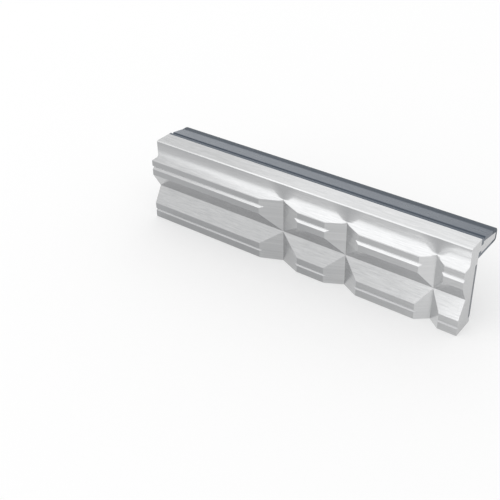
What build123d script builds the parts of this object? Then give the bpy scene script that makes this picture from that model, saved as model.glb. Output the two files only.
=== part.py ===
from build123d import *
from math import radians, tan
import os

# A protective jaw for a bench vise. An aluminium extrusion bears on the vise's own jaw and
# carries a wing that rests on top of it. A plastic cover is slid onto the wing, and a magnet
# strip in the back holds the jaw in place. The working face has one long groove, crossed by
# three milled grooves of different widths, and two scribed notches.
# X runs along the jaw, the working face looks towards -Y, the wing reaches towards +Y and Z
# is up. The origin is the middle of the magnet strip's bearing face, which lies in the back
# plane of the extrusion. Lengths are in millimetres and angles in degrees.

# Extrusion: heights are measured up from its base, depths and reaches from its back plane
jaw_length = 150.0
body_height = 37.0
body_depth = 11.0
face_height = 29.1
top_bar_depth = 6.8
head_overhang = 1.3
cove_radius = 1.2
edge_radius = 0.3
top_chamfer = 0.4

# Long groove and the two notches beside it
long_groove_height = 14.5
long_groove_depth = 4.2
long_groove_angle = 120.0
notch_angle = 90.0
upper_notch_height = 25.5
upper_notch_depth = 0.9
lower_notch_height = 3.9
lower_notch_depth = 0.55

# Cross grooves: their middles are measured from the middle of the jaw
cross_groove_depth = 4.1
wide_groove_place = -6.8
wide_groove_width = 19.2
medium_groove_place = 23.4
medium_groove_width = 15.4
narrow_groove_place = 62.0
narrow_groove_width = 10.2

# Magnet strip and the lip below it
strip_thickness = 1.5
strip_height = 24.0
lip_height = 2.7
lip_chamfer = 0.4
lip_line_height = 1.5
lip_line_depth = 0.25
strip_fit = 0.05

# Wing: a sloping core on a short neck, with a slot above and below the neck. Its own height
# is that of the jaw's top above the seat, which is the wing's flat underside.
wing_height = 7.8
wing_reach = 15.5
neck_thickness = 2.2
slot_width = 2.0
hook_depth = 1.3
key_depth = 1.1
wing_slope = 9.5
core_radius = 0.4

# Wing cover, from the jaw outwards: a bead, a channel, a sloping field and a level rim
cover_wall = 1.2
field_wall = 1.7
bead_width = 1.3
channel_width = 1.65
channel_depth = 0.95
channel_draft = 0.35
rim_width = 4.8
rim_radius = 2.8
rim_foot_radius = 6.0
heel_radius = 1.2
cover_fit = 0.05

# Heights and reaches that follow from the sizes above
half_length = jaw_length / 2
strip_bottom = lip_height + strip_fit
seat_height = body_height - wing_height
core_bottom = seat_height + cover_wall + cover_fit
core_reach = wing_reach - cover_wall - cover_fit
neck_bottom = core_bottom + hook_depth
neck_top = neck_bottom + neck_thickness
neck_middle = (neck_bottom + neck_top) / 2
core_inner_reach = head_overhang + slot_width
core_inner_top = neck_top + key_depth
fall_per_reach = tan(radians(wing_slope))
origin_height = strip_bottom + strip_height / 2

# The section is drawn with reaches across and heights up, its base at height zero
section = Plane(origin=(0, 0, -origin_height), x_dir=(0, 1, 0), z_dir=(1, 0, 0))
base = Plane.XY.offset(-origin_height)


def core_top(reach):
    """Return the height of the wing core's sloping top at a reach."""
    return core_inner_top - fall_per_reach * (reach - core_inner_reach)


def field_top(reach):
    """Return the height of the cover's sloping field at a reach."""
    return core_top(reach) + field_wall


def bar(inner, outer, low, high, mode=Mode.ADD):
    """Draw an upright rectangle of the section between two reaches and two heights."""
    with Locations(((inner + outer) / 2, (low + high) / 2)):
        Rectangle(outer - inner, high - low, mode=mode)


def notch_in_face(height, depth, angle):
    """Cut a V with its root at a height out of the section's working face."""
    half_mouth = depth * tan(radians(angle / 2))
    with Locations((-body_depth, height)):
        Polygon((0, -half_mouth), (depth, 0), (0, half_mouth), mode=Mode.SUBTRACT)


def corner(sketch, reach, height):
    """Return the corner of a sketch that lies nearest to a point of the section."""
    return sketch.vertices().sort_by_distance((reach, height))[0]


# Wing core, the same outline for the extrusion and for the cover's hollow
with BuildSketch() as wing_core:
    Polygon(
        (slot_width, core_bottom),
        (core_reach, core_bottom),
        (core_reach, core_top(core_reach)),
        (core_inner_reach, core_inner_top),
        (core_inner_reach, neck_middle),
        (slot_width, neck_middle),
    )
    fillet(wing_core.vertices().sort_by(Axis.X)[-2:], radius=core_radius)

# Jaw body
with BuildPart() as jaw_body:
    with BuildSketch(section) as body_section:
        # Lower block, up to the wing, and the head, which stands back over the wing's root
        bar(-body_depth, 0, 0, face_height)
        bar(-top_bar_depth, 0, 0, body_height)
        bar(-top_bar_depth, head_overhang, neck_middle, body_height)
        fillet(corner(body_section, -top_bar_depth, face_height), radius=cove_radius)
        fillet(corner(body_section, -body_depth, face_height), radius=edge_radius)
        fillet(corner(body_section, -body_depth, 0), radius=edge_radius)
        fillet(corner(body_section, 0, 0), radius=edge_radius)
        chamfer(corner(body_section, -top_bar_depth, body_height), length=top_chamfer)

        # Neck and wing
        bar(0, core_inner_reach, neck_bottom, neck_top)
        add(wing_core.sketch)

        # Working face
        notch_in_face(long_groove_height, long_groove_depth, long_groove_angle)
        notch_in_face(upper_notch_height, upper_notch_depth, notch_angle)
        notch_in_face(lower_notch_height, lower_notch_depth, notch_angle)

        # Recess for the magnet strip, and the scribed line in the lip below it
        recess_top = strip_bottom + strip_height + strip_fit
        bar(-strip_thickness - strip_fit, 0, lip_height, recess_top, mode=Mode.SUBTRACT)
        chamfer(corner(body_section, 0, lip_height), length=lip_chamfer)
        with Locations((0, lip_line_height)):
            Polygon(
                (0, -lip_line_depth),
                (0, lip_line_depth),
                (-lip_line_depth, 0),
                mode=Mode.SUBTRACT,
            )
    extrude(amount=half_length, both=True)

    # Cross grooves, milled up the working face from the base
    cross_grooves = (
        (wide_groove_place, wide_groove_width),
        (medium_groove_place, medium_groove_width),
        (narrow_groove_place, narrow_groove_width),
    )
    with BuildSketch(base):
        for place, width in cross_grooves:
            with Locations((place, -body_depth)):
                Polygon((-width / 2, 0), (width / 2, 0), (0, cross_groove_depth))
    extrude(amount=body_height, mode=Mode.SUBTRACT)
jaw_body.part.label = "jaw_body"

# Wing cover, whose lips hook into the slots above and below the neck
bead_back = head_overhang + cover_fit
bead_front = bead_back + bead_width
channel_floor = body_height - channel_depth
floor_start = bead_front + channel_draft
field_start = bead_front + channel_width
floor_end = field_start - channel_draft
field_end = wing_reach - rim_width
rim_top = field_top(field_end)
with BuildPart() as wing_cover:
    with BuildSketch(section) as cover_section:
        Polygon(
            (cover_fit, seat_height),
            (cover_fit, neck_middle),
            (bead_back, neck_middle),
            (bead_back, body_height),
            (bead_front, body_height),
            (floor_start, channel_floor),
            (floor_end, channel_floor),
            (field_start, field_top(field_start)),
            (field_end, rim_top),
            (wing_reach, rim_top),
            (wing_reach, seat_height),
        )
        fillet(corner(cover_section, wing_reach, rim_top), radius=rim_radius)
        fillet(corner(cover_section, wing_reach, seat_height), radius=heel_radius)
        fillet(corner(cover_section, field_end, rim_top), radius=rim_foot_radius)
        fillet(corner(cover_section, field_start, field_top(field_start)), radius=edge_radius)
        fillet(corner(cover_section, floor_end, channel_floor), radius=edge_radius)
        fillet(corner(cover_section, floor_start, channel_floor), radius=edge_radius)
        fillet(corner(cover_section, bead_front, body_height), radius=edge_radius)
        fillet(corner(cover_section, bead_back, body_height), radius=edge_radius)
        offset(wing_core.sketch, amount=cover_fit, mode=Mode.SUBTRACT)
        neck_gap_bottom = neck_bottom - cover_fit
        neck_gap_top = neck_top + cover_fit
        bar(0, core_inner_reach, neck_gap_bottom, neck_gap_top, mode=Mode.SUBTRACT)
    extrude(amount=half_length, both=True)
wing_cover.part.label = "wing_cover"

# Magnet strip
with BuildPart() as magnet_strip:
    with BuildSketch(section):
        bar(-strip_thickness, 0, strip_bottom, strip_bottom + strip_height)
    extrude(amount=half_length, both=True)
magnet_strip.part.label = "magnet_strip"

os.makedirs("parts", exist_ok=True)
export_step(jaw_body.part, "parts/jaw_body.step")
export_step(wing_cover.part, "parts/wing_cover.step")
export_step(magnet_strip.part, "parts/magnet_strip.step")
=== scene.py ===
"""A protective vise jaw on a pale studio floor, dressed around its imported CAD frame."""

import logging
import math
from dataclasses import dataclass, field
from enum import Enum

import bmesh
import bpy
from mathutils import Matrix, Vector


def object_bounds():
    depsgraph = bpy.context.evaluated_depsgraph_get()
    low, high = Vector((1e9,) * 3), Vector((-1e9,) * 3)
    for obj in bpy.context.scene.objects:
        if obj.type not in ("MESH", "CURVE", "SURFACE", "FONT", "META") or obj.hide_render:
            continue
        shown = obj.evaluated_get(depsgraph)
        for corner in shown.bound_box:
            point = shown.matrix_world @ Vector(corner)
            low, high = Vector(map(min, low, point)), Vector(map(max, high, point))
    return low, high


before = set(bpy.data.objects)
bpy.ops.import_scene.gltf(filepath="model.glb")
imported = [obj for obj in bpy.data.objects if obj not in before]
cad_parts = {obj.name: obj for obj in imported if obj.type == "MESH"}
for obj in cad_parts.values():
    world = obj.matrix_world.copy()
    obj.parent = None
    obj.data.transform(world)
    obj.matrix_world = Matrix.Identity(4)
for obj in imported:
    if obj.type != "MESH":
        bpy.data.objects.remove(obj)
cad_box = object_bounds()

IMAGE_SIDE = 500
MILLIMETRE = 0.001
MIDDLE = 0.5

log = logging.getLogger("vise_jaw")

Colour = tuple[float, float, float]
Triple = tuple[float, float, float]
Stops = tuple[tuple[float, float], ...]

WHITE: Colour = (1.0, 1.0, 1.0)


class Part(Enum):
    """The three CAD nodes of the jaw."""

    BODY = "jaw_body"
    COVER = "wing_cover"
    STRIP = "magnet_strip"


class Ray(Enum):
    """The rays that see the backdrop as plain white."""

    CAMERA = "Is Camera Ray"
    GLOSSY = "Is Glossy Ray"
    TRANSMISSION = "Is Transmission Ray"


def opaque(colour: Colour) -> tuple[float, float, float, float]:
    """Return the colour with a full alpha."""
    return (*colour, 1.0)


@dataclass(frozen=True)
class Signal:
    """A number on a node's output, whose arithmetic adds Math nodes to the same board."""

    board: "NodeBoard"
    socket: bpy.types.NodeSocket

    def _maths(
        self,
        operation: str,
        first: "Signal | float",
        second: "Signal | float",
        clamp: bool = False,
    ) -> "Signal":
        """Add one Math node.

        Args:
            operation: Blender's name of the operation.
            first: the first value or signal.
            second: the second value or signal.
            clamp: whether the result is kept between 0 and 1.

        Returns:
            The node's result.
        """
        settings = {"operation": operation, "use_clamp": clamp}
        node = self.board.add("ShaderNodeMath", settings, {0: first, 1: second})
        return Signal(self.board, node.outputs[0])

    def __add__(self, other: "Signal | float") -> "Signal":
        """Return the sum."""
        return self._maths("ADD", self, other)

    def __radd__(self, other: float) -> "Signal":
        """Return the sum with a plain number first."""
        return self._maths("ADD", other, self)

    def __sub__(self, other: "Signal | float") -> "Signal":
        """Return the difference."""
        return self._maths("SUBTRACT", self, other)

    def __rsub__(self, other: float) -> "Signal":
        """Return the difference with a plain number first."""
        return self._maths("SUBTRACT", other, self)

    def __mul__(self, other: "Signal | float") -> "Signal":
        """Return the product."""
        return self._maths("MULTIPLY", self, other)

    def __rmul__(self, other: float) -> "Signal":
        """Return the product with a plain number first."""
        return self._maths("MULTIPLY", other, self)

    def __truediv__(self, other: "Signal | float") -> "Signal":
        """Return the quotient."""
        return self._maths("DIVIDE", self, other)

    def __abs__(self) -> "Signal":
        """Return the size without its sign."""
        return self._maths("ABSOLUTE", self, 0.0)

    def floored(self, limit: float) -> "Signal":
        """Return the signal, or the limit where it is below that."""
        return self._maths("MAXIMUM", self, limit)

    def above(self, limit: float) -> "Signal":
        """Return 1 where the signal is over a limit, and 0 elsewhere."""
        return self._maths("GREATER_THAN", self, limit)

    def clamped(self) -> "Signal":
        """Return the signal kept between 0 and 1."""
        return self._maths("ADD", self, 0.0, clamp=True)


class NodeBoard:
    """The node tree of one material or world, emptied and ready for new nodes."""

    noise_roughness = 0.55

    def __init__(self, owner: bpy.types.Material | bpy.types.World) -> None:
        """Take over the owner's node tree.

        Args:
            owner: the material or world that the nodes belong to.
        """
        owner.use_nodes = True
        self.tree = owner.node_tree
        self.tree.nodes.clear()

    def add(
        self,
        kind: str,
        settings: dict[str, object] | None = None,
        sockets: dict[str | int, object] | None = None,
    ) -> bpy.types.Node:
        """Add one node of any type.

        Args:
            kind: the node's type.
            settings: the node's own properties, set first; "stops" holds a ramp's stops.
            sockets: values or links for the inputs, by name or by number.

        Returns:
            The new node.
        """
        node = self.tree.nodes.new(kind)
        for name, value in (settings or {}).items():
            if name == "stops":
                self._set_stops(node, value)
            else:
                setattr(node, name, value)
        for key, value in (sockets or {}).items():
            source = value.socket if isinstance(value, Signal) else value
            if isinstance(source, bpy.types.NodeSocket):
                self.tree.links.new(source, node.inputs[key])
            else:
                node.inputs[key].default_value = source
        return node

    @staticmethod
    def _set_stops(node: bpy.types.Node, stops: Stops) -> None:
        """Give a grey ramp its stops.

        Args:
            node: the Color Ramp node.
            stops: place and grey level of each stop, in order.
        """
        elements = node.color_ramp.elements
        while len(elements) < len(stops):
            elements.new(1.0)
        for element, (place, level) in zip(elements, stops, strict=True):
            element.position = place
            element.color = opaque((level, level, level))

    def noise(self, vector: bpy.types.NodeSocket, grain: Triple, detail: float = 2.0) -> Signal:
        """Add a noise pattern that is stretched on the object's own axes.

        Args:
            vector: object coordinates.
            grain: the size of its grains along X, Y and Z.
            detail: the noise's detail.

        Returns:
            The noise, around one half.
        """
        scale = tuple(1 / size for size in grain)
        mapping = self.add("ShaderNodeMapping", {}, {"Vector": vector, "Scale": scale})
        sockets = {
            "Vector": mapping.outputs[0],
            "Scale": 1.0,
            "Detail": detail,
            "Roughness": self.noise_roughness,
        }
        return Signal(self, self.add("ShaderNodeTexNoise", {}, sockets).outputs[0])

    def split(self, vector: bpy.types.NodeSocket) -> list[Signal]:
        """Take a vector apart.

        Args:
            vector: the vector.

        Returns:
            Its three parts.
        """
        node = self.add("ShaderNodeSeparateXYZ", {}, {0: vector})
        return [Signal(self, output) for output in node.outputs]

    def ramp(self, signal: Signal, stops: Stops) -> Signal:
        """Bend a signal through a grey ramp.

        Args:
            signal: the signal to bend.
            stops: place and grey level of each stop.

        Returns:
            The bent signal.
        """
        node = self.add("ShaderNodeValToRGB", {"stops": stops}, {0: signal})
        return Signal(self, node.outputs[0])

    def blend(
        self, share: Signal, first: Colour | bpy.types.NodeSocket, second: Colour
    ) -> bpy.types.NodeSocket:
        """Mix two colours.

        Args:
            share: how much of the second colour shows, from 0 to 1.
            first: the first colour.
            second: the second colour.

        Returns:
            The mixed colour.
        """
        ground = first if isinstance(first, bpy.types.NodeSocket) else opaque(first)
        sockets = {0: share, 6: ground, 7: opaque(second)}
        return self.add("ShaderNodeMix", {"data_type": "RGBA"}, sockets).outputs[2]

    def bump(
        self, height: Signal, depth: float, normal: bpy.types.NodeSocket | None = None
    ) -> bpy.types.NodeSocket:
        """Turn a height into a normal.

        Args:
            height: the height signal.
            depth: the height in metres that 1 stands for.
            normal: the normal that is bent, or none for the mesh's own.

        Returns:
            The bent normal.
        """
        sockets = {"Height": height, "Distance": depth, "Strength": 1.0}
        if normal is not None:
            sockets["Normal"] = normal
        return self.add("ShaderNodeBump", {}, sockets).outputs[0]

    def seen_by_eye(self) -> Signal:
        """Return 1 for rays that see the backdrop, and 0 for those that light the object."""
        path = self.add("ShaderNodeLightPath")
        camera, glossy, through = (Signal(self, path.outputs[ray.value]) for ray in Ray)
        return (camera + glossy + through).clamped()

    def surface(self, sockets: dict[str, object]) -> None:
        """End the board in a Principled shader.

        Args:
            sockets: the shader's inputs by name.
        """
        shader = self.add("ShaderNodeBsdfPrincipled", {}, sockets)
        self.add("ShaderNodeOutputMaterial", {}, {"Surface": shader.outputs[0]})


@dataclass(frozen=True)
class Spot:
    """Where a point of the surface lies on its object, and which way it faces."""

    place: bpy.types.NodeSocket
    along: Signal
    out: Signal
    up: Signal
    lay: list[Signal]
    side: Signal
    front: Signal

    @classmethod
    def read(cls, board: NodeBoard) -> "Spot":
        """Read the spot from the texture coordinates.

        Args:
            board: the board that gets the nodes.

        Returns:
            The spot.
        """
        coordinates = board.add("ShaderNodeTexCoord")
        place = coordinates.outputs["Object"]
        lay = board.split(coordinates.outputs["Normal"])
        return cls(place, *board.split(place), lay, abs(lay[0]), abs(lay[1]))


@dataclass(frozen=True)
class BrushedAluminium:
    """Extruded aluminium, brushed along the jaw and milled up the cross grooves."""

    dull: Colour = (0.478, 0.483, 0.488)
    bright: Colour = (0.580, 0.583, 0.587)
    roughness: float = 0.21
    roughness_play: float = 0.10
    depth: float = 0.005 * MILLIMETRE
    # How squarely a face looks along an axis to be flat to it, or to lean to it at all.
    flat: float = 0.95
    leaning: float = 0.15
    # Brush streaks, the finer hairs between them, cutter marks and slow clouds.
    streaks: Triple = (8 * MILLIMETRE, 0.70 * MILLIMETRE, 0.50 * MILLIMETRE)
    streak_detail: float = 3.0
    streak_share: float = 0.6
    hairs: Triple = (3.5 * MILLIMETRE, 0.38 * MILLIMETRE, 0.38 * MILLIMETRE)
    marks: Triple = (60 * MILLIMETRE, 60 * MILLIMETRE, 0.8 * MILLIMETRE)
    clouds: Triple = (9 * MILLIMETRE, 9 * MILLIMETRE, 9 * MILLIMETRE)
    grain_contrast: float = 2.7
    cloud_contrast: float = 0.4
    # Painted shade: a darker colour on the front lands, the hollows, the wall's top, the fans
    # and a rougher band along the lower step.
    painted_shade: Colour = (0.385, 0.390, 0.397)
    hollow_shade: float = 0.30
    hollow_slope: float = 0.20
    wall_top_shade: float = 0.35
    fan_shade: float = 0.80
    step_shade: float = 0.30
    step_band_low: float = -11.5 * MILLIMETRE
    step_band_high: float = -10.2 * MILLIMETRE
    step_band_roughness: float = 0.22
    # Painted shade that the left half adds to the wall's top, and the weight that brightens the
    # edges' painted highlight there, from its start to its full strength.
    left_shade: float = 0.50
    leftward_from: float = 15 * MILLIMETRE
    leftward_length: float = 50 * MILLIMETRE
    # Painted reflection: the hollows lighter towards the right end, where the painted shade
    # also fades.
    clear: Colour = (0.800, 0.805, 0.810)
    reflection_share: float = 0.60
    reflection_length: float = 75 * MILLIMETRE
    # Painted highlight on the top bar's edges, brightest at the left end.
    edge_highlight: Colour = (0.530, 0.534, 0.538)
    left_edge_highlight: Colour = (0.670, 0.674, 0.678)
    cut_from: float = 21.80 * MILLIMETRE
    # The soft corner between ledge and wall, and the fans above the cross grooves.
    ledge_height: float = 14.34 * MILLIMETRE
    wall_depth: float = -6.73 * MILLIMETRE
    wall_height: float = 7.9 * MILLIMETRE
    wall_slope: float = 0.28
    foot_slope: float = 0.87
    groove_places: Triple = (-6.8 * MILLIMETRE, 23.4 * MILLIMETRE, 62.0 * MILLIMETRE)
    fan_root: float = 2.0 * MILLIMETRE
    fan_spread: float = 0.9
    fan_share: float = 0.95

    def build(self) -> bpy.types.Material:
        """Make the material.

        Returns:
            The material.
        """
        material = bpy.data.materials.new("brushed_aluminium")
        board = NodeBoard(material)
        spot = Spot.read(board)
        flat, turned = spot.front.above(self.flat), spot.side.above(self.leaning)
        end = spot.side.above(self.flat)
        low = 1 - spot.up.above(self.ledge_height)
        inside = (1 - low) * (1 - spot.out.above(self.wall_depth)) * (1 - turned)
        # How much of the wall is still above, from 0 at its top to 1 at its foot.
        left = (1 - (spot.up - self.ledge_height) / self.wall_height).clamped()
        fan = self._fans(spot)
        # Painted reflection, growing towards the right end.
        clear = (spot.along / self.reflection_length).clamped()
        # Painted shade on the wall's top and the edges' painted highlight, growing towards the
        # left.
        leftward = ((self.leftward_from - spot.along) / self.leftward_length).clamped()
        hollow = low * (1 - flat) * (1 - end) * (1 - spot.lay[2].above(self.hollow_slope))
        # The band along the lower step, which gets painted shade over its bright strip and more
        # roughness.
        band = spot.up.above(self.step_band_low) * (1 - spot.up.above(self.step_band_high))
        step_band = band * (1 - flat) * (1 - turned)
        # The top bar's edges, which get a painted highlight.
        edge = spot.up.above(self.cut_from) * spot.front.above(self.leaning) * (1 - flat)

        # Painted shade: how much of the darker colour each place gets.
        lands = flat * low * (1 - clear)
        top_shade = (1 - left) * (leftward * self.left_shade + self.wall_top_shade)
        wall = flat * inside * (fan * self.fan_shade + top_shade)
        hollows = hollow * (1 - clear) * self.hollow_shade
        painted_shade = (lands + wall + hollows + step_band * self.step_shade).clamped()

        grain = self._grain(board, spot, turned * (1 - end))
        colour = self._metal(board, spot, grain)
        # Painted reflection on the hollows towards the right end.
        colour = board.blend(hollow * clear * self.reflection_share, colour, self.clear)
        # Painted shade laid over the metal.
        colour = board.blend(painted_shade, colour, self.painted_shade)
        # Painted highlight on the top bar's edges.
        colour = board.blend(edge, colour, self.edge_highlight)
        corner = self._soft_corner(board, spot, left, (inside, 1 - fan * self.fan_share))
        board.surface(
            {
                # The edges' painted highlight, stronger towards the left.
                "Base Color": board.blend(edge * leftward, colour, self.left_edge_highlight),
                "Metallic": 1.0,
                "Roughness": (grain - MIDDLE) * self.roughness_play
                + step_band * self.step_band_roughness
                + self.roughness,
                "Normal": board.bump(grain, self.depth, corner),
            }
        )
        return material

    def _grain(self, board: NodeBoard, spot: Spot, milled: Signal) -> Signal:
        """Brush the metal along the jaw, and mark the milled flanks across.

        Args:
            board: the material's board.
            spot: the point of the surface.
            milled: 1 on the milled flanks and 0 elsewhere.

        Returns:
            The grain, around one half.
        """
        streaks = board.noise(spot.place, self.streaks, self.streak_detail)
        hairs = board.noise(spot.place, self.hairs)
        brushed = streaks * self.streak_share + hairs * (1 - self.streak_share)
        return brushed * (1 - milled) + board.noise(spot.place, self.marks) * milled

    def _metal(self, board: NodeBoard, spot: Spot, grain: Signal) -> bpy.types.NodeSocket:
        """Colour the bare metal by its grain and by slow clouds.

        Args:
            board: the material's board.
            spot: the point of the surface.
            grain: the metal's grain.

        Returns:
            The colour.
        """
        clouds = (board.noise(spot.place, self.clouds) - MIDDLE) * self.cloud_contrast
        tone = (grain - MIDDLE) * self.grain_contrast + clouds + MIDDLE
        return board.blend(tone.clamped(), self.dull, self.bright)

    def _fans(self, spot: Spot) -> Signal:
        """Mark a fan on the wall above each cross groove, for painted shade and less lean.

        Args:
            spot: the point of the surface.

        Returns:
            1 in the middle of each fan and 0 outside them.
        """
        rise = (spot.up - self.ledge_height).floored(0.0)
        reach = rise * self.fan_spread + self.fan_root
        shares = (1 - abs(spot.along - place) / reach for place in self.groove_places)
        return sum(share.floored(0.0) for share in shares).clamped()

    def _soft_corner(
        self, board: NodeBoard, spot: Spot, left: Signal, shares: tuple[Signal, Signal]
    ) -> bpy.types.NodeSocket:
        """Lean the ledge and the foot of the wall above it towards each other.

        Args:
            board: the material's board.
            spot: the point of the surface.
            left: how much of the wall is still above, from 0 at its top to 1 at its foot.
            shares: where the corner is, and how much of the foot's own lean shows there.

        Returns:
            The bent normal.
        """
        inside, open_wall = shares
        slope = left * open_wall * (self.foot_slope - self.wall_slope) + self.wall_slope
        forward = spot.lay[1] - spot.lay[2] * inside * open_wall
        upward = spot.lay[2] + spot.front * slope * inside
        sockets = {0: spot.lay[0], 1: forward, 2: upward}
        bent = board.add("ShaderNodeCombineXYZ", {}, sockets).outputs[0]
        unit = board.add("ShaderNodeVectorMath", {"operation": "NORMALIZE"}, {0: bent})
        turn = {"vector_type": "NORMAL", "convert_from": "OBJECT", "convert_to": "WORLD"}
        return board.add("ShaderNodeVectorTransform", turn, {0: unit.outputs[0]}).outputs[0]


@dataclass(frozen=True)
class SatinPlastic:
    """Blue-grey plastic with a fine satin grain."""

    dark: Colour = (0.046, 0.066, 0.095)
    pale: Colour = (0.056, 0.078, 0.110)
    roughness: float = 0.30
    roughness_play: float = 0.10
    depth: float = 0.006 * MILLIMETRE
    ior: float = 1.5
    grain: Triple = (0.22 * MILLIMETRE, 0.22 * MILLIMETRE, 0.22 * MILLIMETRE)
    grain_share: float = 0.5
    clouds: Triple = (12 * MILLIMETRE, 12 * MILLIMETRE, 12 * MILLIMETRE)
    flow: Triple = (5 * MILLIMETRE, 0.8 * MILLIMETRE, 0.8 * MILLIMETRE)
    flow_detail: float = 3.0
    flow_play: float = 0.16
    # The darker, duller outer rim.
    rim: Colour = (0.049, 0.064, 0.084)
    rim_roughness: float = 0.28
    rim_reach: float = 10.9 * MILLIMETRE

    def build(self) -> bpy.types.Material:
        """Make the material.

        Returns:
            The material.
        """
        material = bpy.data.materials.new("satin_plastic")
        board = NodeBoard(material)
        place = board.add("ShaderNodeTexCoord").outputs["Object"]
        grain = board.noise(place, self.grain)
        clouds = board.noise(place, self.clouds)
        tone = (grain * self.grain_share + clouds * (1 - self.grain_share)).clamped()
        flow = board.noise(place, self.flow, self.flow_detail)
        rim = board.split(place)[1].above(self.rim_reach)
        colour = board.blend(tone, self.dark, self.pale)
        board.surface(
            {
                "Base Color": board.blend(rim, colour, self.rim),
                "Roughness": (grain - MIDDLE) * self.roughness_play
                + (flow - MIDDLE) * self.flow_play
                + rim * self.rim_roughness
                + self.roughness,
                "IOR": self.ior,
                "Normal": board.bump(grain, self.depth),
            }
        )
        return material


@dataclass(frozen=True)
class BondedMagnet:
    """Rubber-bonded magnet strip, mottled grey and matt."""

    dark: Colour = (0.150, 0.160, 0.175)
    pale: Colour = (0.235, 0.245, 0.262)
    roughness: float = 0.62
    depth: float = 0.012 * MILLIMETRE
    specks: Triple = (0.7 * MILLIMETRE, 0.7 * MILLIMETRE, 0.7 * MILLIMETRE)
    speck_detail: float = 4.0
    speck_share: float = 0.65
    patches: Triple = (3.5 * MILLIMETRE, 3.5 * MILLIMETRE, 3.5 * MILLIMETRE)
    mottle: Stops = ((0.36, 0.0), (0.62, 1.0))

    def build(self) -> bpy.types.Material:
        """Make the material.

        Returns:
            The material.
        """
        material = bpy.data.materials.new("bonded_magnet")
        board = NodeBoard(material)
        place = board.add("ShaderNodeTexCoord").outputs["Object"]
        specks = board.noise(place, self.specks, self.speck_detail)
        patches = board.noise(place, self.patches)
        mix = specks * self.speck_share + patches * (1 - self.speck_share)
        board.surface(
            {
                "Base Color": board.blend(board.ramp(mix, self.mottle), self.dark, self.pale),
                "Roughness": self.roughness,
                "Normal": board.bump(specks, self.depth),
            }
        )
        return material


@dataclass(frozen=True)
class PaleFloor:
    """Matt white floor paper that keeps the object's shadow."""

    colour: Colour = (0.98, 0.98, 0.98)
    lift: float = 0.35

    def build(self) -> bpy.types.Material:
        """Make the material.

        Returns:
            The material.
        """
        material = bpy.data.materials.new("floor_paper")
        board = NodeBoard(material)
        paper = board.add("ShaderNodeBsdfDiffuse", {}, {"Color": opaque(self.colour)})
        glow = board.add("ShaderNodeEmission", {}, {"Color": opaque(WHITE), "Strength": 1.0})
        share = board.seen_by_eye() * self.lift
        sockets = {0: share, 1: paper.outputs[0], 2: glow.outputs[0]}
        mixed = board.add("ShaderNodeMixShader", {}, sockets)
        board.add("ShaderNodeOutputMaterial", {}, {"Surface": mixed.outputs[0]})
        return material


@dataclass
class Jaw:
    """The three fixed pieces of the jaw, each with its own finish."""

    body: BrushedAluminium = field(default_factory=BrushedAluminium)
    cover: SatinPlastic = field(default_factory=SatinPlastic)
    strip: BondedMagnet = field(default_factory=BondedMagnet)

    def dress(self, nodes: dict[str, bpy.types.Object]) -> list[bpy.types.Object]:
        """Give each CAD node its finish.

        Args:
            nodes: the frame's nodes by name.

        Returns:
            The dressed nodes.
        """
        finishes = {Part.BODY: self.body, Part.COVER: self.cover, Part.STRIP: self.strip}
        dressed = []
        for part, finish in finishes.items():
            node = nodes[part.value]
            material = finish.build()
            for slot in node.material_slots:
                slot.material = material
            dressed.append(node)
        return dressed


@dataclass(frozen=True)
class SoftBox:
    """A rectangular lamp that faces the jaw."""

    name: str
    place: Triple
    width: float
    height: float
    radiance: float
    aim: Triple = (0.0, 0.0, 0.0)

    def build(self) -> bpy.types.Object:
        """Make the lamp.

        Returns:
            The lamp.
        """
        data = bpy.data.lights.new(self.name, "AREA")
        data.shape = "RECTANGLE"
        data.size = self.width
        data.size_y = self.height
        data.energy = self.radiance * math.pi * self.width * self.height
        lamp = bpy.data.objects.new(self.name, data)
        lamp.location = self.place
        away = Vector(self.aim) - Vector(self.place)
        lamp.rotation_euler = away.to_track_quat("-Z", "Y").to_euler()
        bpy.context.scene.collection.objects.link(lamp)
        return lamp


LAMPS = (
    SoftBox("front_box", (-0.57, -1.05, 1.07), 0.84, 0.90, 0.86),
    SoftBox("low_box", (-0.14, -1.53, 0.44), 0.50, 0.36, 1.8),
    SoftBox("back_box", (-0.98, 1.20, 0.40), 1.50, 0.34, 0.95),
    SoftBox("top_box", (-0.38, 1.20, 1.00), 1.00, 0.44, 0.55),
)


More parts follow.
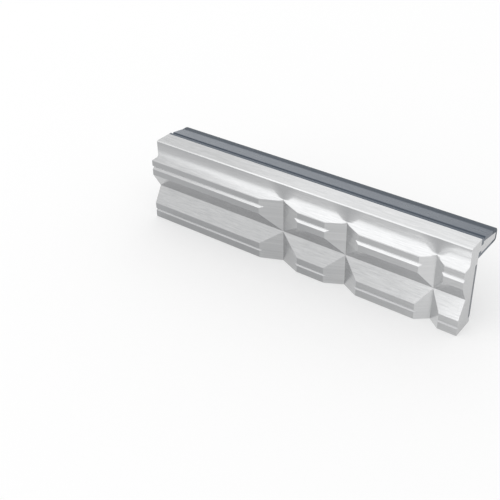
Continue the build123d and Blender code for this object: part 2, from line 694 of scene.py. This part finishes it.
@dataclass
class Studio:
    """Plain floor, even world and soft boxes."""

    floor_half: float = 3.0
    floor_gap: float = 0.02 * MILLIMETRE
    world_light: float = 0.92
    lamps: tuple[SoftBox, ...] = LAMPS

    def build(self, floor_height: float) -> None:
        """Make the floor, the world and the lamps.

        Args:
            floor_height: the height of the face that the jaw stands on.
        """
        self._lay_floor(floor_height - self.floor_gap)
        self._fill_world()
        for lamp in self.lamps:
            lamp.build()

    def _lay_floor(self, height: float) -> None:
        """Make the floor as one flat sheet.

        Args:
            height: the sheet's height.
        """
        mesh = bpy.data.meshes.new("floor")
        shape = bmesh.new()
        place = Matrix.Translation((0.0, 0.0, height))
        bmesh.ops.create_grid(
            shape, x_segments=1, y_segments=1, size=self.floor_half, matrix=place
        )
        shape.to_mesh(mesh)
        shape.free()
        floor = bpy.data.objects.new("floor", mesh)
        floor.data.materials.append(PaleFloor().build())
        bpy.context.scene.collection.objects.link(floor)

    def _fill_world(self) -> None:
        """Make the world white to the eye and plain in the light it gives."""
        world = bpy.data.worlds.new("studio")
        bpy.context.scene.world = world
        board = NodeBoard(world)
        strength = board.seen_by_eye() * (1 - self.world_light) + self.world_light
        sockets = {"Color": opaque(WHITE), "Strength": strength}
        sky = board.add("ShaderNodeBackground", {}, sockets)
        board.add("ShaderNodeOutputWorld", {}, {"Surface": sky.outputs[0]})


@dataclass
class ViewCamera:
    """The camera at the photograph's viewpoint."""

    azimuth: float = 37.607
    elevation: float = 33.935
    roll: float = -1.427
    focal_pixels: float = 873.3
    place: Triple = (0.16862, -0.25771, 0.19656)
    sensor: float = 36.0
    clip_start: float = 0.01

    def build(self) -> bpy.types.Object:
        """Make the camera and hand it to the scene.

        Returns:
            The camera.
        """
        azimuth, elevation = math.radians(self.azimuth), math.radians(self.elevation)
        level = math.cos(elevation)
        back = Vector(
            (math.sin(azimuth) * level, -math.cos(azimuth) * level, math.sin(elevation))
        )
        right = Vector((0.0, 0.0, 1.0)).cross(back).normalized()
        up = back.cross(right)
        roll = Matrix.Rotation(math.radians(self.roll), 3, "Z")
        turn = Matrix((right, up, back)).transposed() @ roll
        data = bpy.data.cameras.new("view_camera")
        data.sensor_width = self.sensor
        data.lens = self.focal_pixels / IMAGE_SIDE * self.sensor
        data.clip_start = self.clip_start
        camera = bpy.data.objects.new("view_camera", data)
        camera.matrix_world = Matrix.Translation(self.place) @ turn.to_4x4()
        bpy.context.scene.collection.objects.link(camera)
        bpy.context.scene.camera = camera
        return camera


def main() -> None:
    logging.basicConfig(level=logging.INFO, format="%(name)s: %(message)s")
    for node in Jaw().dress(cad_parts):
        log.info("dressed %s with %s", node.name, node.material_slots[0].material.name)
    Studio().build(cad_box[0].z)
    ViewCamera().build()
    bpy.context.scene.view_settings.view_transform = "Standard"


if __name__ == "__main__":
    main()
